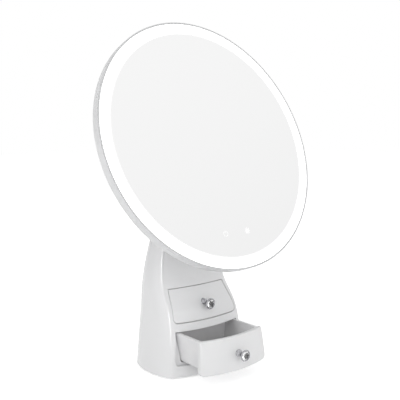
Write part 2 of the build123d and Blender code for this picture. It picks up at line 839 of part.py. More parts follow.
with BuildPart() as backing_plate:
    add(head_ring(ledge_radius - screw_gap, 0, plate_depth, plate_front))
    add(
        head_cylinders(plate_boss_spots, screw_radius + screw_gap, plate_depth, plate_front),
        mode=Mode.SUBTRACT,
    )
    add(
        head_cylinders([led_lead_spot, touch_lead_spot], lead_hole_radius, plate_depth, plate_front),
        mode=Mode.SUBTRACT,
    )
keep("backing_plate", backing_plate)

with BuildPart() as backing_screws:
    add(head_cylinders(plate_boss_spots, screw_head_radius, plate_front, plate_front - screw_head_height))
    add(head_cylinders(plate_boss_spots, screw_radius, plate_boss_root - 1, plate_front))
keep("backing_screws", backing_screws)

with BuildPart() as led_board:
    add(head_ring(ring_outer_radius, ring_inner_radius, plate_front, led_depth))
keep("led_board", led_board)

with BuildPart() as leds:
    with BuildSketch(on_head(led_depth)):
        with PolarLocations(led_circle, led_count):
            Rectangle(led_size[0], led_size[1])
    extrude(amount=led_size[2])
keep("leds", leds)

with BuildPart() as touch_board:
    with BuildSketch(on_head(plate_front)):
        with Locations((0, -touch_drop)):
            Rectangle(touch_board_size[0], touch_board_size[1])
    extrude(amount=touch_board_size[2])
keep("touch_board", touch_board)

touch_spots = [(-touch_spacing / 2, -touch_drop), (touch_spacing / 2, -touch_drop)]
with BuildPart() as touch_pads:
    add(head_cylinders(touch_spots, touch_pad_radius, plate_front - touch_board_size[2], glass_thickness))
keep("touch_pads", touch_pads)

# ---------------------------------------------------------------- battery, board, port and leads
battery_size = (50.0, 24.0, 8.0)
battery_rise = 33.0
board_screw_radius = 1.0
board_front = board_depth - board_size[2]

with BuildPart() as battery_pack:
    with BuildSketch(on_head(housing_floor_depth)):
        with Locations((0, battery_rise)):
            RectangleRounded(battery_size[0], battery_size[1], 2)
    extrude(amount=battery_size[2])
keep("battery_pack", battery_pack)

with BuildPart() as main_board:
    with BuildSketch(on_head(board_depth)):
        with Locations((0, -board_drop)):
            Rectangle(board_size[0], board_size[1])
        with Locations(*board_stud_spots):
            Circle(board_screw_radius + screw_gap, mode=Mode.SUBTRACT)
    extrude(amount=board_size[2])
keep("main_board", main_board)

with BuildPart() as board_screws:
    add(head_cylinders(board_stud_spots, 2.0, board_front, board_front - 1.2))
    add(head_cylinders(board_stud_spots, board_screw_radius, board_front + 5.0, board_front))
keep("board_screws", board_screws)

with BuildPart() as usb_port:
    with BuildSketch(on_head(hub_depth - port_recess)):
        with Locations((0, -port_drop)):
            SlotOverall(*port_size)
            SlotOverall(port_size[0] - 2 * port_wall, port_size[1] - 2 * port_wall, mode=Mode.SUBTRACT)
            Rectangle(port_size[0] - port_size[1] - 0.6, 0.8)
    extrude(amount=hub_depth - port_recess - board_depth)
    with BuildSketch(on_head(board_depth)):
        with Locations((0, -port_drop)):
            SlotOverall(*port_size)
    extrude(amount=-0.8)
keep("usb_port", usb_port)


def head_point(x, rise, depth):
    """A place in the head: across, up the glass, and behind its front."""
    return mirror_centre + Vector(x, 0, 0) + head_up * rise - head_normal * depth


def lead(points, bend):
    """A thin insulated wire along straight runs joined by bends."""
    with BuildPart() as wire:
        with BuildLine() as route:
            if len(points) > 2:
                FilletPolyline(*points, radius=bend)
            else:
                Line(*points)
        with BuildSketch(Plane(origin=points[0], z_dir=points[1] - points[0])):
            Circle(lead_radius)
        sweep(path=route.wire())
    return wire.part


lead_layer = plate_depth + 1.0
lead_bend = 2.0
battery_bottom = battery_rise - battery_size[1] / 2
board_top = -board_drop + board_size[1] / 2
with BuildPart() as internal_leads:
    add(lead([
        head_point(led_lead_spot[0], -24.0, board_front),
        head_point(led_lead_spot[0], -24.0, lead_layer + 3.0),
        head_point(led_lead_spot[0], -50.0, lead_layer),
        head_point(led_lead_spot[0], led_lead_spot[1], lead_layer),
        head_point(led_lead_spot[0], led_lead_spot[1], plate_front),
    ], lead_bend * 0.4))
    add(lead([
        head_point(touch_lead_spot[0], -24.0, board_front),
        head_point(touch_lead_spot[0], -24.0, lead_layer + 3.0),
        head_point(touch_lead_spot[0], -50.0, lead_layer),
        head_point(touch_lead_spot[0], touch_lead_spot[1], lead_layer),
        head_point(touch_lead_spot[0], touch_lead_spot[1], plate_front),
    ], lead_bend * 0.4))
    for x in (-22.0, -18.0):
        add(lead([
            head_point(x, battery_bottom, board_depth - board_size[2] / 2),
            head_point(x, board_top, board_depth - board_size[2] / 2),
        ], 0))
keep("internal_leads", internal_leads)

# ---------------------------------------------------------------- tilt arm, turning with the head
arm_back = hub_depth + arm_flange_thickness
arm_web = (11.0, 15.0)

with BuildPart() as tilt_arm:
    with BuildSketch(on_head(arm_back)):
        Circle(arm_flange_radius)
    extrude(amount=arm_flange_thickness)
    with BuildSketch(on_head(hinge_reach)):
        RectangleRounded(arm_web[0], arm_web[1], 2)
    extrude(amount=hinge_reach - arm_back)
    add(cross_rod(barrel_radius, -barrel_length / 2, barrel_length / 2))
    add(cross_rod(pin_radius + running_gap, -barrel_length / 2, barrel_length / 2), mode=Mode.SUBTRACT)
    add(head_cylinders(arm_screw_spots, screw_radius + screw_gap, arm_back, hub_depth), mode=Mode.SUBTRACT)
keep("tilt_arm", tilt_arm)

with BuildPart() as arm_screws:
    add(head_cylinders(arm_screw_spots, screw_head_radius, arm_back + screw_head_height, arm_back))
    add(head_cylinders(arm_screw_spots, screw_radius, arm_back, arm_bore_end + 1))
keep("arm_screws", arm_screws)
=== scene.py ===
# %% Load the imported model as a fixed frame
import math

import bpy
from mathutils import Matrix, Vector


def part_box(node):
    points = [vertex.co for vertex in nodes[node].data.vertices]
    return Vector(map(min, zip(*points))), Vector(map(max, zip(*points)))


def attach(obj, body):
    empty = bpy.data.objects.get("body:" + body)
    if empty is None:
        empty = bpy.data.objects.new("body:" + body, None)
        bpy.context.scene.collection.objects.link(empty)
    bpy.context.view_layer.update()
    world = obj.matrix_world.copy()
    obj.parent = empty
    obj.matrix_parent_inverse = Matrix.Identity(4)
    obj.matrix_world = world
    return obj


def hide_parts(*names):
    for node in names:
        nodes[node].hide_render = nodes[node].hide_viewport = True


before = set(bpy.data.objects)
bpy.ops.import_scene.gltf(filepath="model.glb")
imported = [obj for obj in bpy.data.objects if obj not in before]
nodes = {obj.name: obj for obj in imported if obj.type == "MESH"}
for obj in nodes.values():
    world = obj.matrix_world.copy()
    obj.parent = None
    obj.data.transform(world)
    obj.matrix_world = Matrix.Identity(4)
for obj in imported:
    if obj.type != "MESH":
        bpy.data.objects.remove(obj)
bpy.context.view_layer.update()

# %% [markdown]
# # A lit vanity mirror with two small drawers
# A round mirror with a band of light at its rim tilts on a tapered white column, and two bow-fronted
# drawers slide out of the column. The moulded shapes come from the CAD model and only need their finishes.
# What is fine work on the real object, such as knobs, jewels, screw heads and the marks on the glass, is
# modelled here by hand, one step at a time.

print("CAD nodes:", len(nodes))

# %% [markdown]
# ## The camera
# The picture is taken from in front and to the left, a little above the middle of the mirror. The place and
# the lens can be found by matching known points of the object with the photograph. A lens of 58 mm on a
# 36 mm sensor gives the same mild perspective, so the mirror's ellipse has the right width and lean.

# %% Camera at the photograph's place
camera_place = Vector((-0.4533, -0.5747, 0.2680))
camera_turn = 39.45
camera_dip = 6.24
camera_lens = 58.0

bpy.ops.object.camera_add(location=camera_place)
camera = bpy.context.object
camera.name = "camera"
camera.rotation_euler = (math.radians(90 - camera_dip), 0, math.radians(-camera_turn))
camera.data.lens = camera_lens
camera.data.sensor_width = 36.0
bpy.context.scene.camera = camera
bpy.context.scene.view_settings.view_transform = "Standard"
print("camera", tuple(round(value, 3) for value in camera.location))

# %% [markdown]
# ## The room
# The object stands in a white studio. A white floor would need strong light to look white, and that light
# would burn out the white plastic too. So the floor and the world glow a little for the camera's own rays
# and for mirror and glass rays alone, and the object gets an even, plainer light.

# %% Helpers for node trees
def start_tree(tree):
    """Empties a node tree. Gives a maker of nodes and a linker for it."""
    tree.nodes.clear()

    def node(kind, **settings):
        made = tree.nodes.new(kind)
        for key, value in settings.items():
            setattr(made, key, value)
        return made

    def join(source, target):
        tree.links.new(source, target)

    return node, join


def start_finish(name):
    """A new empty material, with its maker of nodes and its linker."""
    finish = bpy.data.materials.new(name)
    finish.use_nodes = True
    node, join = start_tree(finish.node_tree)
    return finish, node, join


def eased(node, join, source, start, end, low=0.0, high=1.0):
    """Low where the source value is at the start, high at the end, with a soft change between."""
    ramp = node("ShaderNodeMapRange", interpolation_type="SMOOTHSTEP")
    for name, value in (("From Min", start), ("From Max", end), ("To Min", low), ("To Max", high)):
        ramp.inputs[name].default_value = value
    join(source, ramp.inputs["Value"])
    return ramp.outputs["Result"]


def is_seen_directly(node, join):
    """A value of 1 for camera, glossy and transmission rays, else 0."""
    rays = node("ShaderNodeLightPath")
    either = node("ShaderNodeMath", operation="MAXIMUM")
    join(rays.outputs["Is Camera Ray"], either.inputs[0])
    join(rays.outputs["Is Glossy Ray"], either.inputs[1])
    seen = node("ShaderNodeMath", operation="MAXIMUM")
    join(either.outputs[0], seen.inputs[0])
    join(rays.outputs["Is Transmission Ray"], seen.inputs[1])
    return seen.outputs[0]


# %% Floor that is white to the eye and keeps the shadow
floor_colour = (0.88, 0.88, 0.88, 1)
floor_lift = 0.50
floor_far_lift = 0.66
lift_starts = 0.25
lift_ends = 1.20
room_low = 0.955

bpy.ops.mesh.primitive_plane_add(size=12, location=(0, 0, -0.0003))
floor = bpy.context.object
floor.name = "floor"
floor_finish, node, join = start_finish("floor_white")
floor_paper = node("ShaderNodeBsdfDiffuse")
floor_paper.inputs["Color"].default_value = floor_colour
floor_glow = node("ShaderNodeEmission")
floor_place = node("ShaderNodeTexCoord")
floor_far = node("ShaderNodeVectorMath", operation="LENGTH")
join(floor_place.outputs["Object"], floor_far.inputs[0])
floor_rise = eased(
    node, join, floor_far.outputs["Value"], lift_starts, lift_ends, floor_lift, floor_far_lift)
glow_amount = node("ShaderNodeMath", operation="MULTIPLY")
join(floor_rise, glow_amount.inputs[1])
join(is_seen_directly(node, join), glow_amount.inputs[0])
join(glow_amount.outputs[0], floor_glow.inputs["Strength"])
floor_sum = node("ShaderNodeAddShader")
join(floor_paper.outputs[0], floor_sum.inputs[0])
join(floor_glow.outputs[0], floor_sum.inputs[1])
floor_in_mirror = node("ShaderNodeEmission")
floor_in_mirror.inputs["Strength"].default_value = room_low
floor_rays = node("ShaderNodeLightPath")
floor_choice = node("ShaderNodeMixShader")
join(floor_rays.outputs["Is Glossy Ray"], floor_choice.inputs["Fac"])
join(floor_sum.outputs[0], floor_choice.inputs[1])
join(floor_in_mirror.outputs[0], floor_choice.inputs[2])
floor_end = node("ShaderNodeOutputMaterial")
join(floor_choice.outputs[0], floor_end.inputs["Surface"])
floor.data.materials.append(floor_finish)
print("floor ready")

# %% World
world_light = 0.42
world = bpy.data.worlds.new("studio")
bpy.context.scene.world = world
world.use_nodes = True
world_node, world_join = start_tree(world.node_tree)
lit_sky = world_node("ShaderNodeBackground")
lit_sky.inputs["Color"].default_value = (1, 1, 1, 1)
lit_sky.inputs["Strength"].default_value = world_light
seen_sky = world_node("ShaderNodeBackground")
seen_sky.inputs["Color"].default_value = (1, 1, 1, 1)
seen_sky.inputs["Strength"].default_value = 1.0
sky_choice = world_node("ShaderNodeMixShader")
world_join(is_seen_directly(world_node, world_join), sky_choice.inputs["Fac"])
world_join(lit_sky.outputs[0], sky_choice.inputs[1])
world_join(seen_sky.outputs[0], sky_choice.inputs[2])
print("world light", world_light)

# %% [markdown]
# A real studio isn't equally white all round. Its ceiling is brightest, and the far side of the room, behind
# the object, is darker. That darker side shows as a thin grey outline on glossy white plastic, and without
# it a white object on white has no edge. So what shiny surfaces see gets its own sky, darker low down at the
# back and a little brighter overhead.

# %% The room that shiny surfaces reflect
room_high = 1.02
room_back = 0.30

room_way = world_node("ShaderNodeTexCoord")
way_parts = world_node("ShaderNodeSeparateXYZ")
world_join(room_way.outputs["Generated"], way_parts.inputs["Vector"])
overhead = eased(world_node, world_join, way_parts.outputs["Z"], 0.15, 0.70, room_low, room_high)
at_back = eased(world_node, world_join, way_parts.outputs["Y"], 0.05, 0.45)
low_down = eased(world_node, world_join, way_parts.outputs["Z"], 0.20, 0.55, 1.0, 0.0)
dark_side = world_node("ShaderNodeMath", operation="MULTIPLY")
world_join(at_back, dark_side.inputs[0])
world_join(low_down, dark_side.inputs[1])
room_level = world_node("ShaderNodeMix", data_type="FLOAT")
world_join(dark_side.outputs[0], room_level.inputs[0])
world_join(overhead, room_level.inputs[2])
room_level.inputs[3].default_value = room_back
room_sky = world_node("ShaderNodeBackground")
room_sky.inputs["Color"].default_value = (1, 1, 1, 1)
world_join(room_level.outputs[0], room_sky.inputs["Strength"])
shiny_rays = world_node("ShaderNodeLightPath")
room_choice = world_node("ShaderNodeMixShader")
world_join(shiny_rays.outputs["Is Glossy Ray"], room_choice.inputs["Fac"])
world_join(sky_choice.outputs[0], room_choice.inputs[1])
world_join(room_sky.outputs[0], room_choice.inputs[2])
sky_end = world_node("ShaderNodeOutputWorld")
world_join(room_choice.outputs[0], sky_end.inputs["Surface"])
print("reflected room, back to top:", room_back, room_high)

# %% [markdown]
# Seven large, weak lamps stand all round, so that no side falls dark. A mirror would show each lamp as a
# white square. Studios hang the lamps where the mirror can't see them, which isn't possible for every angle
# here, so the lamps are hidden from glossy rays and the mirror sees the plain room.

# %% Soft lamps
lamps = (
    # name, place, size, watts
    ("key_left", (-1.10, -0.75, 1.20), 0.9, 4.6),
    ("top_soft", (0.25, -0.20, 1.60), 1.2, 2.5),
    ("front_low", (-0.20, -1.70, 0.45), 1.0, 7.0),
    ("left_side", (-1.50, 0.15, 0.60), 0.8, 4.6),
    ("right_low", (0.95, -0.95, 0.14), 0.5, 1.5),
    ("back_fill", (0.10, 1.80, 0.80), 1.0, 6.5),
    ("right_side", (1.50, 0.45, 0.60), 0.8, 4.0),
)
lamp_target = Vector((0, -0.02, 0.15))
for lamp_name, lamp_place, lamp_size, lamp_watts in lamps:
    bpy.ops.object.light_add(type="AREA", location=lamp_place)
    lamp = bpy.context.object
    lamp.name = lamp_name
    lamp.data.size = lamp_size
    lamp.data.energy = lamp_watts
    lamp.visible_glossy = False
    lamp.rotation_euler = (lamp_target - Vector(lamp_place)).to_track_quat("-Z", "Y").to_euler()
print("lamps", len(lamps))

# %% [markdown]
# The rounded corners of the column and of the drawer fronts carry a fine bright line. Such a line is the
# reflection of a soft box near the camera. This one gives reflections in the glossy plastic and no other
# light. It is linked to the plastic pieces alone, so it never stands as a white square in the mirror.

# %% Soft box for the bright edges
soft_box_place = Vector((-1.20, -1.10, 0.40))
bpy.ops.object.light_add(type="AREA", location=soft_box_place)
soft_box = bpy.context.object
soft_box.name = "soft_box"
soft_box.data.shape = "RECTANGLE"
soft_box.data.size = 0.70
soft_box.data.size_y = 0.90
soft_box.data.energy = 24.0
soft_box.visible_diffuse = False
soft_box.rotation_euler = (lamp_target - soft_box_place).to_track_quat("-Z", "Y").to_euler()
print("soft box", round(soft_box.data.size, 2), "by", round(soft_box.data.size_y, 2))

# %% [markdown]
# ## Finishes
# Every surface gets its own node material. The moulded plastic is a little uneven, as real mouldings are:
# its roughness drifts slowly over the surface and a very fine ripple bends the reflections. The pattern
# reads Object coordinates, so it stays on the piece when the piece moves.

# %% A helper for the drift and ripple that most finishes share
def object_noise(node, join, scale, detail=2.0, stretch=(1, 1, 1)):
    """A noise texture in the object's own coordinates, in waves per metre."""
    place = node("ShaderNodeTexCoord")
    turn = node("ShaderNodeMapping")
    turn.inputs["Scale"].default_value = stretch
    noise = node("ShaderNodeTexNoise")
    noise.inputs["Scale"].default_value = scale
    noise.inputs["Detail"].default_value = detail
    join(place.outputs["Object"], turn.inputs["Vector"])
    join(turn.outputs["Vector"], noise.inputs["Vector"])
    return noise.outputs["Fac"]


def spread(node, join, source, low, high):
    """The source value, 0.3 to 0.7, spread over low to high."""
    stretch = node("ShaderNodeMapRange")
    stretch.inputs["From Min"].default_value = 0.3
    stretch.inputs["From Max"].default_value = 0.7
    stretch.inputs["To Min"].default_value = low
    stretch.inputs["To Max"].default_value = high
    join(source, stretch.inputs["Value"])
    return stretch.outputs["Result"]


def shade_between(node, join, source, dark, light):
    """A colour between two, by the source value."""
    ramp = node("ShaderNodeValToRGB")
    ramp.color_ramp.elements[0].position = 0.35
    ramp.color_ramp.elements[0].color = (*dark, 1)
    ramp.color_ramp.elements[1].position = 0.65
    ramp.color_ramp.elements[1].color = (*light, 1)
    join(source, ramp.inputs["Fac"])
    return ramp.outputs["Color"]


# %% A helper that makes most of the finishes
def surface(name, dark, light, rough, drift=40.0, ripple=900.0, ripple_height=0.00001, metal=0.0,
            gloss=0.5, coat=0.0, stretch=(1, 1, 1)):
    """A finish whose colour and roughness drift and whose surface has a fine ripple."""
    finish, node, join = start_finish(name)
    shader = node("ShaderNodeBsdfPrincipled")
    shader.inputs["Metallic"].default_value = metal
    shader.inputs["Specular IOR Level"].default_value = gloss
    shader.inputs["Coat Weight"].default_value = coat
    slow = object_noise(node, join, drift, 1.5, stretch)
    join(shade_between(node, join, slow, dark, light), shader.inputs["Base Color"])
    join(spread(node, join, slow, *rough), shader.inputs["Roughness"])
    bump = node("ShaderNodeBump")
    bump.inputs["Distance"].default_value = ripple_height
    join(object_noise(node, join, ripple, 2.0, stretch), bump.inputs["Height"])
    join(bump.outputs["Normal"], shader.inputs["Normal"])
    end = node("ShaderNodeOutputMaterial")
    join(shader.outputs[0], end.inputs["Surface"])
    return finish


# %% Plastic, rubber and foam
gloss_white = surface(
    "gloss_white", (0.842, 0.844, 0.850), (0.852, 0.853, 0.859), (0.14, 0.20), 12, 300, 0.000003)
bezel_white = (0.80, 0.803, 0.81)
head_white = surface(
    "head_white", (0.806, 0.809, 0.816), (0.814, 0.817, 0.824), (0.26, 0.34), 9, 250, 0.000003)
satin_white = surface("satin_white", (0.80, 0.80, 0.81), (0.84, 0.84, 0.845), (0.42, 0.52), 60, 2600, 0.00002)
pad_rubber = surface(
    "pad_rubber", (0.035, 0.035, 0.037), (0.06, 0.06, 0.062), (0.75, 0.9), 300, 3000, 0.00008)
nylon = surface("nylon", (0.70, 0.69, 0.65), (0.78, 0.77, 0.73), (0.45, 0.55), 400, 3000, 0.00002)
opal = surface("opal", (0.88, 0.88, 0.88), (0.92, 0.92, 0.92), (0.35, 0.45), 60, 1200, 0.00001)
foam = surface("foam", (0.09, 0.09, 0.095), (0.16, 0.16, 0.165), (0.9, 1.0), 500, 5000, 0.0002)
touch_rubber = surface("touch_rubber", (0.03, 0.03, 0.03), (0.06, 0.06, 0.06), (0.7, 0.8), 600, 3000, 0.00004)
battery_wrap = surface("battery_wrap", (0.03, 0.09, 0.30), (0.05, 0.13, 0.38), (0.28, 0.4), 150, 900, 0.00006)
lead_cover = surface("lead_cover", (0.02, 0.02, 0.02), (0.035, 0.035, 0.035), (0.4, 0.5), 400, 2500, 0.00002)
print("plastics made")

# %% Metal, board and light finishes
plated_steel = surface(
    "plated_steel", (0.50, 0.50, 0.51), (0.60, 0.60, 0.61), (0.25, 0.4), 400, 2500, 0.00001, 1.0)
turned_steel = surface(
    "turned_steel", (0.42, 0.42, 0.44), (0.55, 0.55, 0.57), (0.22, 0.36), 200, 1800, 0.00002, 1.0,
    stretch=(12, 1, 1))
cast_iron = surface(
    "cast_iron", (0.05, 0.05, 0.055), (0.10, 0.10, 0.105), (0.65, 0.85), 300, 1500, 0.0003, 0.4)
sheet_metal = surface(
    "sheet_metal", (0.55, 0.56, 0.57), (0.66, 0.67, 0.68), (0.3, 0.42), 80, 2000, 0.00002, 1.0)
board_white = surface("board_white", (0.72, 0.72, 0.70), (0.80, 0.80, 0.78), (0.35, 0.45), 200, 1600, 0.00003)
board_green = surface(
    "board_green", (0.01, 0.09, 0.035), (0.02, 0.14, 0.055), (0.3, 0.45), 300, 1600, 0.00004)
phosphor = surface("phosphor", (0.80, 0.66, 0.22), (0.90, 0.78, 0.34), (0.3, 0.4), 900, 4000, 0.00002)
chrome = surface("chrome", (0.62, 0.62, 0.64), (0.74, 0.74, 0.76), (0.04, 0.09), 250, 900, 0.000004, 1.0)
print("metals made")

# %% [markdown]
# ## The mirror and its band of light
# The glass is one disc. Its back is silvered, and a ring near the rim has its silvering etched away, so that
# the light behind it comes through. The two could be two pieces, but on the real mirror they are one smooth
# face with a soft border. So one material does both: the distance from the middle of the glass decides how
# much is mirror and how much is light.

# %% Where the glass is and which way it faces
tilt_at_rest = math.radians(21.2)
glass_normal = Vector((0, -math.cos(tilt_at_rest), math.sin(tilt_at_rest)))
glass_up = Vector((0, math.sin(tilt_at_rest), math.cos(tilt_at_rest)))
glass_low, glass_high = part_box("mirror_glass")
glass_thickness = 0.003
glass_face = (glass_low + glass_high) / 2 + glass_normal * glass_thickness / 2
glass_radius = (glass_high.x - glass_low.x) / 2
print("glass radius", round(glass_radius, 4), "face at", tuple(round(v, 4) for v in glass_face))

# %% The mirror's finish
band_inner = 0.1252
band_soft = 0.0048
band_light = 1.05
ground_width = 0.0003
mirror_tint = (0.903, 0.903, 0.903, 1)

mirror_finish, node, join = start_finish("mirror_silver")
where = node("ShaderNodeTexCoord")
from_middle = node("ShaderNodeVectorMath", operation="DISTANCE")
from_middle.inputs[1].default_value = glass_face
join(where.outputs["Object"], from_middle.inputs[0])
band = eased(node, join, from_middle.outputs["Value"], band_inner, band_inner + band_soft)

silver = node("ShaderNodeBsdfPrincipled")
silver.inputs["Metallic"].default_value = 1.0
silver.inputs["Base Color"].default_value = mirror_tint
haze = object_noise(node, join, 30, 2.0)
join(spread(node, join, haze, 0.015, 0.03), silver.inputs["Roughness"])
etched = node("ShaderNodeBsdfPrincipled")
etched.inputs["Base Color"].default_value = (0.9, 0.9, 0.9, 1)
etched.inputs["Roughness"].default_value = 0.25
etched.inputs["Emission Color"].default_value = (1, 1, 1, 1)
etched.inputs["Emission Strength"].default_value = band_light
glass_mix = node("ShaderNodeMixShader")
join(band, glass_mix.inputs["Fac"])
join(silver.outputs[0], glass_mix.inputs[1])
join(etched.outputs[0], glass_mix.inputs[2])

ground = node("ShaderNodeBsdfPrincipled")
ground.inputs["Base Color"].default_value = (0.42, 0.44, 0.44, 1)
grain = object_noise(node, join, 2500, 2.0)
join(spread(node, join, grain, 0.45, 0.7), ground.inputs["Roughness"])
at_rim = node("ShaderNodeMath", operation="GREATER_THAN")
at_rim.inputs[1].default_value = glass_radius - ground_width
join(from_middle.outputs["Value"], at_rim.inputs[0])
rim_mix = node("ShaderNodeMixShader")
join(at_rim.outputs[0], rim_mix.inputs["Fac"])
join(glass_mix.outputs[0], rim_mix.inputs[1])
join(ground.outputs[0], rim_mix.inputs[2])
glass_end = node("ShaderNodeOutputMaterial")
join(rim_mix.outputs[0], glass_end.inputs["Surface"])
print("band of light from", band_inner, "to", round(glass_radius, 4))

# %% [markdown]
# ## The bezel
# The bezel is the slim ring that holds the pane. Its side is the same white as the housing. Its narrow front
# lip is painted grey, a painted shade for its rounded edge, and draws a fine line around the light. The lip
# could be a piece of its own, but it is one moulding with the side. So the height over the glass decides the
# painted shade.

# %% The bezel's finish
# The lip's grey is painted shade: the shade of the rounded white lip, laid down as a colour.
lip_painted_shade_grey = (0.64, 0.643, 0.648)
lip_starts_below = 0.0006
lip_full_below = 0.0001
bezel_finish, node, join = start_finish("bezel_white")
bezel_skin = node("ShaderNodeBsdfPrincipled")
bezel_place = node("ShaderNodeTexCoord")
over_glass = node("ShaderNodeVectorMath", operation="DOT_PRODUCT")
over_glass.inputs[1].default_value = glass_normal
join(bezel_place.outputs["Object"], over_glass.inputs[0])
face_height = glass_face.dot(glass_normal)
lip = eased(
    node, join, over_glass.outputs["Value"], face_height - lip_starts_below, face_height - lip_full_below)
bezel_drift = object_noise(node, join, 40, 2.0)
side_colour = shade_between(node, join, bezel_drift, bezel_white, (0.82, 0.822, 0.83))
bezel_colour = node("ShaderNodeMix", data_type="RGBA")
join(lip, bezel_colour.inputs[0])
join(side_colour, bezel_colour.inputs[6])
bezel_colour.inputs[7].default_value = (*lip_painted_shade_grey, 1)
join(bezel_colour.outputs[2], bezel_skin.inputs["Base Color"])
join(spread(node, join, bezel_drift, 0.25, 0.33), bezel_skin.inputs["Roughness"])
bezel_end = node("ShaderNodeOutputMaterial")
join(bezel_skin.outputs[0], bezel_end.inputs["Surface"])
print("bezel lip from", round(face_height - lip_starts_below, 5))

# %% [markdown]
# ## Finishes on the CAD pieces
# A piece whose CAD shape is right stays as it is and only gets its finish. The list below pairs each finish
# with the pieces that are made of it.

# %% Give each CAD piece its finish
worn_by = {
    gloss_white: "column_shell rear_cover hinge_yoke hinge_caps tilt_arm upper_drawer_front "
                 "lower_drawer_front",
    head_white: "rear_housing",
    bezel_finish: "bezel_ring",
    satin_white: "drawer_cabinet base_plate upper_drawer_box lower_drawer_box",
    pad_rubber: "anti_slip_pad bay_bumpers",
    cast_iron: "ballast_plate",
    plated_steel: "rear_cover_screws base_plate_screws cabinet_screws ballast_screws yoke_screws "
                  "backing_screws board_screws arm_screws upper_knob_screw lower_knob_screw usb_port",
    turned_steel: "hinge_pin hinge_nut",
    nylon: "friction_washers",
    mirror_finish: "mirror_glass",
    opal: "light_diffuser",
    foam: "mirror_foam",
    sheet_metal: "backing_plate",
    board_white: "led_board",
    board_green: "main_board touch_board",
    phosphor: "leds",
    touch_rubber: "touch_pads",
    battery_wrap: "battery_pack",
    lead_cover: "internal_leads",
    chrome: "upper_knob lower_knob upper_knob_jewel lower_knob_jewel",
}
for finish, names in worn_by.items():
    for name in names.split():
        for place in nodes[name].material_slots:
            place.material = finish
        if not nodes[name].material_slots:
            nodes[name].data.materials.append(finish)
print("finished", sum(len(names.split()) for names in worn_by.values()), "of", len(nodes))

# %% The soft box lights the glossy plastic only
edge_lit = bpy.data.collections.new("edge_lit")
for name in worn_by[gloss_white].split() + ["bezel_ring"]:
    edge_lit.objects.link(nodes[name])
soft_box.light_linking.receiver_collection = edge_lit

# %% [markdown]
# ## Modelling by hand
# Some pieces need more detail than the CAD model holds. Each one starts as a flat circle or square, and
# grows in edit mode by extruding and scaling, as on a lathe. An operator works on whatever is selected, so
# a small helper first deselects everything.

# %% Helpers for modelling in edit mode
def start_clean():
    """Leaves edit mode and deselects everything."""
    if bpy.context.mode != "OBJECT":
        bpy.ops.object.mode_set(mode="OBJECT")
    bpy.ops.object.select_all(action="DESELECT")


def start_disc(name, radius, middle, turn=(0, 0, 0), corners=48):
    """A filled circle in edit mode, all selected, with its place in its mesh."""
    start_clean()
    bpy.ops.mesh.primitive_circle_add(
        vertices=corners, radius=radius, fill_type="NGON", location=middle, rotation=turn)
    disc = bpy.context.object
    disc.name = name
    bpy.ops.object.transform_apply(location=True, rotation=True, scale=True)
    bpy.ops.object.mode_set(mode="EDIT")
    bpy.ops.mesh.select_mode(type="FACE")
    bpy.ops.mesh.select_all(action="SELECT")
    return disc


def turn_profile(steps, way, radius):
    """Grows the selected disc along a way. Each step is (distance from the start, radius)."""
    reached = 0.0
    for distance, new_radius in steps:
        move = Vector(way) * (distance - reached)
        bpy.ops.mesh.extrude_region_move(TRANSFORM_OT_translate={"value": move})
        bpy.ops.transform.resize(value=(new_radius / radius,) * 3)
        reached, radius = distance, new_radius
    return radius


def finish_piece(piece, smooth_below=35):
    """Closes a piece: merged, facing outwards and smooth across its soft edges."""
    start_clean()
    piece.select_set(True)
    bpy.context.view_layer.objects.active = piece
    bpy.ops.object.mode_set(mode="EDIT")
    bpy.ops.mesh.select_all(action="SELECT")
    bpy.ops.mesh.remove_doubles(threshold=0.000002)
    bpy.ops.mesh.normals_make_consistent(inside=False)
    bpy.ops.object.mode_set(mode="OBJECT")
    bpy.ops.object.shade_smooth_by_angle(angle=math.radians(smooth_below))
    print(piece.name, len(piece.data.polygons), "faces")


# %% [markdown]
# ## The knobs
# Each knob is a small turned metal trumpet: a round foot, a slim neck and a flared head with a rounded rim,
# and a cut crystal sits in its cup. A lathe turns such a shape from a profile, and extruding a disc step by
# step does the same. It keeps the rings where the light needs them, close together on the rim.

# %% Finishes for the knobs
knob_chrome = surface(
    "knob_chrome", (0.43, 0.43, 0.45), (0.52, 0.52, 0.54), (0.05, 0.10), 250, 1500, 0.000003, 1.0)
# The near-black finish for the cup's floor is a painted dark reflection, standing in for what the chrome
# would reflect.
painted_dark_reflection = surface("painted_dark_reflection", (0.010, 0.010, 0.012), (0.03, 0.03, 0.034), (0.25, 0.4), 900, 4000, 0.00001)

crystal, node, join = start_finish("crystal")
crystal_glass = node("ShaderNodeBsdfPrincipled")
crystal_glass.inputs["Base Color"].default_value = (0.97, 0.975, 0.98, 1)
crystal_glass.inputs["Transmission Weight"].default_value = 1.0
crystal_glass.inputs["IOR"].default_value = 1.55
polish = object_noise(node, join, 1200, 2.0)
join(spread(node, join, polish, 0.005, 0.03), crystal_glass.inputs["Roughness"])
crystal_end = node("ShaderNodeOutputMaterial")
join(crystal_glass.outputs[0], crystal_end.inputs["Surface"])

# %% Turn the knob at the upper drawer
knob_low, knob_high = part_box("upper_knob")
knob_x = (knob_low.x + knob_high.x) / 2
knob_z = (knob_low.z + knob_high.z) / 2
knob_reach = 0.0114
knob_in_front = 0.0030
knob_face_y = knob_low.y + knob_reach
knob_back = knob_face_y + knob_in_front
foot_radius = 0.0040
forward = (0, -1, 0)

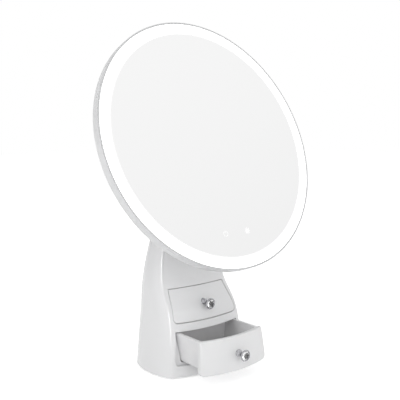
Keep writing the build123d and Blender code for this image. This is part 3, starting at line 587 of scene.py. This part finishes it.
# distance from the drawer's face and radius, in mm
knob_profile = (
    (-1.0, 4.00), (0.0, 4.00), (0.7, 3.98), (1.0, 3.84), (1.2, 3.50), (1.5, 2.95), (2.0, 2.62), (2.9, 2.48),
    (4.0, 2.50), (5.0, 2.74), (6.0, 3.16), (7.0, 3.76), (8.0, 4.50), (8.8, 5.20), (9.5, 5.80),
    (9.9, 6.10), (10.3, 6.27), (10.6, 6.30), (10.9, 6.24), (11.15, 6.08), (11.32, 5.86), (11.40, 5.60),
    (11.34, 5.36), (11.15, 5.20), (10.8, 5.14), (10.4, 5.10),
)
upper_knob = start_disc(
    "turned_knob_upper", foot_radius, (knob_x, knob_back, knob_z), (math.radians(90), 0, 0))
knob_steps = [(knob_in_front + far / 1000, radius / 1000) for far, radius in knob_profile]
last_radius = turn_profile(knob_steps, forward, foot_radius)
cup_steps = [(knob_in_front + 0.0092, 0.0034), (knob_in_front + 0.0080, 0.0019)]
turn_profile([(far - knob_steps[-1][0], radius) for far, radius in cup_steps], forward, last_radius)
finish_piece(upper_knob, 40)
print("knob reaches", round(max(far for far, radius in knob_profile), 2), "mm from the drawer")

# %% The cup's floor is painted dark, a painted dark reflection; the rest is bright metal
cup_floor_radius = 0.0030
cup_floor_out = 0.0075
upper_knob.data.materials.append(knob_chrome)
upper_knob.data.materials.append(painted_dark_reflection)
for face in upper_knob.data.polygons:
    from_axis = math.hypot(face.center.x - knob_x, face.center.z - knob_z)
    from_drawer = knob_face_y - face.center.y
    if from_axis < cup_floor_radius and from_drawer > cup_floor_out and face.normal.y < -0.5:
        face.material_index = 1
print("dark faces", sum(face.material_index for face in upper_knob.data.polygons))

# %% [markdown]
# The crystal is cut like a brilliant: a flat table, a crown of triangles and a pointed underside. Turning
# every second ring by half a facet and splitting the squares into triangles gives such facets. They stay
# flat shaded, because the glitter comes from hard edges.

# %% Cut the crystal
facets = 12
half_facet = math.radians(180 / facets)
point_radius = 0.0022
girdle_radius = 0.0050
crown_radius = 0.00405
table_radius = 0.0027
point_out = 0.0082
upper_jewel = start_disc(
    "cut_crystal_upper", point_radius, (knob_x, knob_face_y - point_out, knob_z), (math.radians(90), 0, 0),
    facets)


def cut_ring(step, scale, turned):
    """Extrudes the top face forward, scales it and turns it about the knob's line."""
    bpy.ops.mesh.extrude_region_move(TRANSFORM_OT_translate={"value": (0, -step, 0)})
    bpy.ops.transform.resize(value=(scale,) * 3)
    if turned:
        bpy.ops.transform.rotate(
            value=half_facet, orient_axis="Y", center_override=(knob_x, knob_back, knob_z))


cut_ring(0.0024, girdle_radius / point_radius, False)
cut_ring(0.0005, 1.0, False)
cut_ring(0.0012, crown_radius / girdle_radius, True)
cut_ring(0.0006, table_radius / crown_radius, True)
bpy.ops.mesh.select_all(action="SELECT")
bpy.ops.mesh.quads_convert_to_tris(quad_method="SHORTEST_DIAGONAL", ngon_method="BEAUTY")
finish_piece(upper_jewel, 3)
upper_jewel.data.materials.append(crystal)

# %% [markdown]
# The lower knob is the same piece again. A copy with its own mesh is moved to the lower drawer, and the move
# is written into the mesh, so that the piece's own origin stays at the frame's origin.

# %% Copy the knob to the lower drawer
def copy_moved(piece, name, move):
    """A copy with its own mesh, moved inside the mesh."""
    start_clean()
    piece.select_set(True)
    bpy.context.view_layer.objects.active = piece
    bpy.ops.object.duplicate(linked=False)
    twin = bpy.context.object
    twin.name = name
    twin.location = move
    bpy.ops.object.transform_apply(location=True, rotation=True, scale=True)
    return twin


lower_low, lower_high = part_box("lower_knob")
to_lower = Vector((0, lower_low.y - knob_low.y, (lower_high.z + lower_low.z) / 2 - knob_z))
lower_knob = copy_moved(upper_knob, "turned_knob_lower", to_lower)
lower_jewel = copy_moved(upper_jewel, "cut_crystal_lower", to_lower)
for piece, node_name, body, slot in (
        (upper_knob, "upper_knob", "upper_drawer", "knob_chrome"),
        (upper_jewel, "upper_knob_jewel", "upper_drawer", "jewel_clear"),
        (lower_knob, "lower_knob", "lower_drawer", "knob_chrome"),
        (lower_jewel, "lower_knob_jewel", "lower_drawer", "jewel_clear")):
    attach(piece, body)
    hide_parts(node_name)
print("knobs at", round(knob_z, 4), "and", round(knob_z + to_lower.z, 4))

# %% [markdown]
# ## The drawers' pads
# The inside of the open drawer looks darker and warmer than white plastic. A thin dark grey flocked pad on
# the floor of each tray is painted shade that darkens it. It must fit the tray's bowed floor, so
# it starts as a copy of the tray. Only the floor's faces are kept, with the short edges at the corners
# merged. They are drawn in a little from the walls, raised to the pad's thickness and softened at the edges.

# %% The flocked finish, dark as painted shade
painted_shade_flock = surface(
    "painted_shade_flock", (0.175, 0.16, 0.155), (0.225, 0.207, 0.20), (0.92, 1.0), 1500, 7000, 0.00012)
painted_shade_flock_shader = painted_shade_flock.node_tree.nodes["Principled BSDF"]
painted_shade_flock_shader.inputs["Sheen Weight"].default_value = 0.3
painted_shade_flock_shader.inputs["Sheen Roughness"].default_value = 0.5

# %% Cut a pad from a copy of each tray
pad_thickness = 0.0009
pad_clearance = 0.0004
pad_soft_edge = 0.00035
shortest_edge = 0.0004


def select_faces(piece, wanted):
    """Selects the faces that the test accepts, and leaves the piece in edit mode."""
    bpy.ops.object.mode_set(mode="EDIT")
    bpy.ops.mesh.select_mode(type="FACE")
    bpy.ops.mesh.select_all(action="DESELECT")
    bpy.ops.object.mode_set(mode="OBJECT")
    for face in piece.data.polygons:
        face.select = wanted(face)
    bpy.ops.object.mode_set(mode="EDIT")


def cut_pad(node_name, name, body):
    """A pad for one tray. The copy's labels go, because the pad is a piece of its own."""
    start_clean()
    nodes[node_name].select_set(True)
    bpy.context.view_layer.objects.active = nodes[node_name]
    bpy.ops.object.duplicate(linked=False)
    pad = bpy.context.object
    pad.name = name
    for key in list(pad.keys()):
        del pad[key]
    bpy.ops.object.mode_set(mode="EDIT")
    bpy.ops.mesh.select_all(action="SELECT")
    bpy.ops.mesh.remove_doubles(threshold=0.00001)
    bpy.ops.object.mode_set(mode="OBJECT")
    low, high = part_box(node_name)
    areas = {}
    for face in pad.data.polygons:
        if face.normal.z > 0.99 and face.center.z < (low.z + high.z) / 2:
            level = round(face.center.z, 4)
            areas[level] = areas.get(level, 0) + face.area
    floor_level = max(areas, key=areas.get)
    select_faces(pad, lambda face: face.normal.z > 0.99 and abs(face.center.z - floor_level) < 0.0001)
    bpy.ops.mesh.select_all(action="INVERT")
    bpy.ops.mesh.delete(type="FACE")
    bpy.ops.mesh.select_all(action="SELECT")
    bpy.ops.mesh.dissolve_limited(angle_limit=math.radians(1))
    bpy.ops.mesh.select_all(action="SELECT")
    bpy.ops.mesh.remove_doubles(threshold=shortest_edge)
    bpy.ops.mesh.inset(thickness=pad_clearance, use_even_offset=False)
    bpy.ops.mesh.select_all(action="INVERT")
    bpy.ops.mesh.delete(type="FACE")
    bpy.ops.mesh.select_all(action="SELECT")
    bpy.ops.mesh.extrude_region_move(TRANSFORM_OT_translate={"value": (0, 0, pad_thickness)})
    bpy.ops.mesh.bevel(offset=pad_soft_edge, segments=3, affect="EDGES")
    finish_piece(pad, 50)
    pad.data.materials.clear()
    pad.data.materials.append(painted_shade_flock)
    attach(pad, body)
    print(name, "lies at", floor_level, "area", round(areas[floor_level] * 10000, 2), "cm2")
    return pad


# The pads are painted shade: dark grey sheets laid where the inside of each drawer is in shade.
cut_pad("upper_drawer_box", "painted_shade_pad_upper", "upper_drawer")
cut_pad("lower_drawer_box", "painted_shade_pad_lower", "lower_drawer")

# %% [markdown]
# ## The screws
# The rear cover, the tilt arm and the foot are held by small cross-head screws. The CAD screws are plain
# round studs. One screw of each size is turned here from a disc, with a domed head, and a cross-shaped
# cutter is taken out of it by a Boolean modifier. Its copies go where the CAD screws are.

# %% One cross-head screw at the origin, head upwards
def cross_head_screw(name, head_radius, head_height, shank_radius, shank_length):
    """A screw whose head's underside is at height 0."""
    screw = start_disc(name, shank_radius * 0.6, (0, 0, -shank_length), corners=24)
    dome = ((0, 0.94), (0.12, 1), (0.50, 1), (0.76, 0.90), (0.93, 0.68), (1, 0.34))
    head_steps = [(shank_length + head_height * rise, head_radius * wide) for rise, wide in dome]
    turn_profile(
        [(0.0006, shank_radius), (shank_length, shank_radius), *head_steps], (0, 0, 1), shank_radius * 0.6)
    finish_piece(screw, 40)
    for angle in (0, 90):
        start_clean()
        bpy.ops.mesh.primitive_cube_add(
            size=1, location=(0, 0, head_height * 0.75), rotation=(0, 0, math.radians(angle)),
            scale=(head_radius * 1.10, head_radius * 0.22, head_height * 0.8))
        cutter = bpy.context.object
        bpy.ops.object.transform_apply(location=True, rotation=True, scale=True)
        bpy.ops.object.mode_set(mode="EDIT")
        bpy.ops.mesh.select_all(action="DESELECT")
        bpy.ops.object.mode_set(mode="OBJECT")
        for face in cutter.data.polygons:
            face.select = face.normal.z < -0.9
        bpy.ops.object.mode_set(mode="EDIT")
        bpy.ops.transform.resize(value=(0.55, 0.55, 1))
        bpy.ops.object.mode_set(mode="OBJECT")
        cut = screw.modifiers.new("cross", "BOOLEAN")
        cut.operation = "DIFFERENCE"
        cut.solver = "EXACT"
        cut.object = cutter
        start_clean()
        screw.select_set(True)
        bpy.context.view_layer.objects.active = screw
        bpy.ops.object.modifier_apply(modifier="cross")
        bpy.data.objects.remove(cutter, do_unlink=True)
    bpy.ops.object.shade_smooth_by_angle(angle=math.radians(40))
    return screw


# %% Where a CAD node's screws are
def screw_places(node_name, way):
    """For each screw of a node: its middle line's point at the head's top, its length and its head radius."""
    way = Vector(way).normalized()
    side = way.orthogonal().normalized()
    across = way.cross(side)
    groups = []
    for corner in nodes[node_name].data.vertices:
        flat = Vector((corner.co.dot(side), corner.co.dot(across)))
        for group in groups:
            if (group[0][0] - flat).length < 0.0065:
                group.append((flat, corner.co.dot(way)))
                break
        else:
            groups.append([(flat, corner.co.dot(way))])
    places = []
    for group in groups:
        low = Vector((min(f.x for f, h in group), min(f.y for f, h in group)))
        high = Vector((max(f.x for f, h in group), max(f.y for f, h in group)))
        middle = (low + high) / 2
        top = max(h for f, h in group)
        bottom = min(h for f, h in group)
        head = max((f - middle).length for f, h in group)
        places.append((side * middle.x + across * middle.y + way * top, top - bottom, head))
    return places


# %% Put a copy on every screw and join them
shank_radius = 0.0015
screw_short_by = 0.00005


def dress_screws(node_name, way, head_height, finish):
    """The cross-head screws that stand for all the plain screws of one CAD node."""
    places = screw_places(node_name, way)
    top, length, head_radius = places[0]
    screw = cross_head_screw(
        node_name + "_cross", head_radius * 0.995, head_height, shank_radius,
        length - head_height - screw_short_by)
    turn = Vector(way).to_track_quat("Z", "Y")
    copies = []
    for top, length, head in places:
        start_clean()
        screw.select_set(True)
        bpy.context.view_layer.objects.active = screw
        bpy.ops.object.duplicate(linked=False)
        twin = bpy.context.object
        twin.rotation_euler = turn.to_euler()
        twin.location = top - Vector(way).normalized() * head_height
        bpy.ops.object.transform_apply(location=True, rotation=True, scale=True)
        copies.append(twin)
    start_clean()
    for twin in copies:
        twin.select_set(True)
    bpy.context.view_layer.objects.active = copies[0]
    bpy.ops.object.join()
    piece = bpy.context.object
    piece.name = node_name + "_cross_head"
    bpy.data.objects.remove(screw, do_unlink=True)
    piece.data.materials.clear()
    piece.data.materials.append(finish)
    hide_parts(node_name)
    print(piece.name, len(copies), "screws")
    return piece


for node_name, way, head_height, body in (
        ("rear_cover_screws", (0, 1, 0), 0.0011, "base"),
        ("base_plate_screws", (0, 0, -1), 0.0014, "base"),
        ("cabinet_screws", (0, 0, -1), 0.0014, "base"),
        ("ballast_screws", (0, 0, -1), 0.0014, "base"),
        ("arm_screws", -glass_normal, 0.0016, "head")):
    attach(dress_screws(node_name, way, head_height, plated_steel), body)

# %% [markdown]
# ## The mirror pane
# The pane is a disc of float glass, 3 mm thick. Its edge is ground and has a narrow bevel, which shows as a
# fine grey line beside the light. It grows from a disc with many corners, so that its rim stays round.

# %% Make the pane with its ground bevel
pane_corners = 192
bevel_height = 0.00035
bevel_in = 0.0005
glass_turn = glass_normal.to_track_quat("Z", "Y").to_euler()
pane_back = glass_face - glass_normal * glass_thickness
pane = start_disc("mirror_pane", glass_radius, pane_back, glass_turn, pane_corners)
for step in (glass_thickness - bevel_height, bevel_height):
    bpy.ops.mesh.extrude_region_move(TRANSFORM_OT_translate={"value": glass_normal * step})
bpy.ops.transform.resize(value=((glass_radius - bevel_in) / glass_radius,) * 3)
finish_piece(pane, 20)
pane.data.materials.append(mirror_finish)
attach(pane, "head")
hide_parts("mirror_glass")

# %% [markdown]
# ## The touch marks
# Two small marks low on the glass show where to touch: a circle with a bar for on and off, and a little sun
# for the brightness. They are clear spots in the silvering that light shines through. Each is modelled flat
# at the origin as a very thin plate, then laid on the glass.

# %% Finishes for the marks
def glowing(name, strength):
    """A frosted finish that gives its own light."""
    finish, node, join = start_finish(name)
    shader = node("ShaderNodeBsdfPrincipled")
    shader.inputs["Base Color"].default_value = (0.25, 0.25, 0.25, 1)
    shader.inputs["Emission Color"].default_value = (1, 1, 1, 1)
    frost = object_noise(node, join, 1500, 2.0)
    join(spread(node, join, frost, 0.35, 0.5), shader.inputs["Roughness"])
    join(spread(node, join, frost, strength * 0.97, strength * 1.03), shader.inputs["Emission Strength"])
    end = node("ShaderNodeOutputMaterial")
    join(shader.outputs[0], end.inputs["Surface"])
    return finish


power_glow = glowing("power_glow", 0.78)
sun_glow = glowing("sun_glow", 0.95)
mark_thickness = 0.00008


# %% Helpers for the marks
def flat_ring(name, outer, inner, corners=48):
    """A flat ring around the origin, facing up."""
    start_clean()
    bpy.ops.mesh.primitive_circle_add(vertices=corners, radius=outer, fill_type="NOTHING", location=(0, 0, 0))
    ring = bpy.context.object
    ring.name = name
    bpy.ops.object.mode_set(mode="EDIT")
    bpy.ops.mesh.select_mode(type="EDGE")
    bpy.ops.mesh.select_all(action="SELECT")
    bpy.ops.mesh.extrude_edges_move(TRANSFORM_OT_translate={"value": (0, 0, 0)})
    bpy.ops.transform.resize(value=(inner / outer,) * 3)
    bpy.ops.object.mode_set(mode="OBJECT")
    return ring


def flat_bar(length, width, middle, turn):
    """A flat bar with its long side along the turned Y axis."""
    start_clean()
    bpy.ops.mesh.primitive_plane_add(size=1, location=middle, rotation=(0, 0, turn))
    bar = bpy.context.object
    bar.scale = (width, length, 1)
    bpy.ops.object.transform_apply(location=True, rotation=True, scale=True)
    return bar


def lay_on_glass(parts, name, right, up, finish):
    """Joins flat parts, gives them a thickness and lays them on the glass."""
    start_clean()
    for part in parts:
        part.select_set(True)
    bpy.context.view_layer.objects.active = parts[0]
    bpy.ops.object.join()
    mark = bpy.context.object
    mark.name = name
    bpy.ops.object.mode_set(mode="EDIT")
    bpy.ops.mesh.select_all(action="SELECT")
    bpy.ops.mesh.normals_make_consistent(inside=False)
    bpy.ops.object.mode_set(mode="OBJECT")
    if mark.data.polygons[0].normal.z < 0:
        mark.data.flip_normals()
    thick = mark.modifiers.new("thick", "SOLIDIFY")
    thick.thickness = mark_thickness
    thick.offset = 1
    bpy.ops.object.modifier_apply(modifier="thick")
    mark.rotation_euler = glass_turn
    mark.location = glass_face + Vector((right, 0, 0)) + glass_up * up
    bpy.ops.object.transform_apply(location=True, rotation=True, scale=True)
    mark.data.materials.append(finish)
    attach(mark, "head")
    print(name, len(mark.data.polygons), "faces")
    return mark


# %% The on and off mark
mark_side = 0.0153
mark_up = -0.1004
power_ring = flat_ring("power_ring", 0.0031, 0.0025)
bpy.ops.object.mode_set(mode="EDIT")
bpy.ops.mesh.select_mode(type="FACE")
bpy.ops.mesh.select_all(action="DESELECT")
bpy.ops.object.mode_set(mode="OBJECT")
for face in power_ring.data.polygons:
    face.select = face.center.y > 0 and abs(face.center.x) < 0.0012
bpy.ops.object.mode_set(mode="EDIT")
bpy.ops.mesh.delete(type="FACE")
bpy.ops.object.mode_set(mode="OBJECT")
power_bar = flat_bar(0.0030, 0.0006, (0, 0.0020, 0), 0)
lay_on_glass([power_ring, power_bar], "touch_mark_power", -mark_side, mark_up, power_glow)

# %% The brightness mark
ray_count = 8
ray_middle = 0.0029
sun_parts = [flat_ring("sun_ring", 0.0018, 0.0009, 32)]
for ray in range(ray_count):
    angle = math.radians(360 / ray_count * ray)
    ray_place = (math.sin(angle) * ray_middle, math.cos(angle) * ray_middle, 0)
    sun_parts.append(flat_bar(0.0011, 0.0006, ray_place, -angle))
lay_on_glass(sun_parts, "touch_mark_sun", mark_side, mark_up, sun_glow)
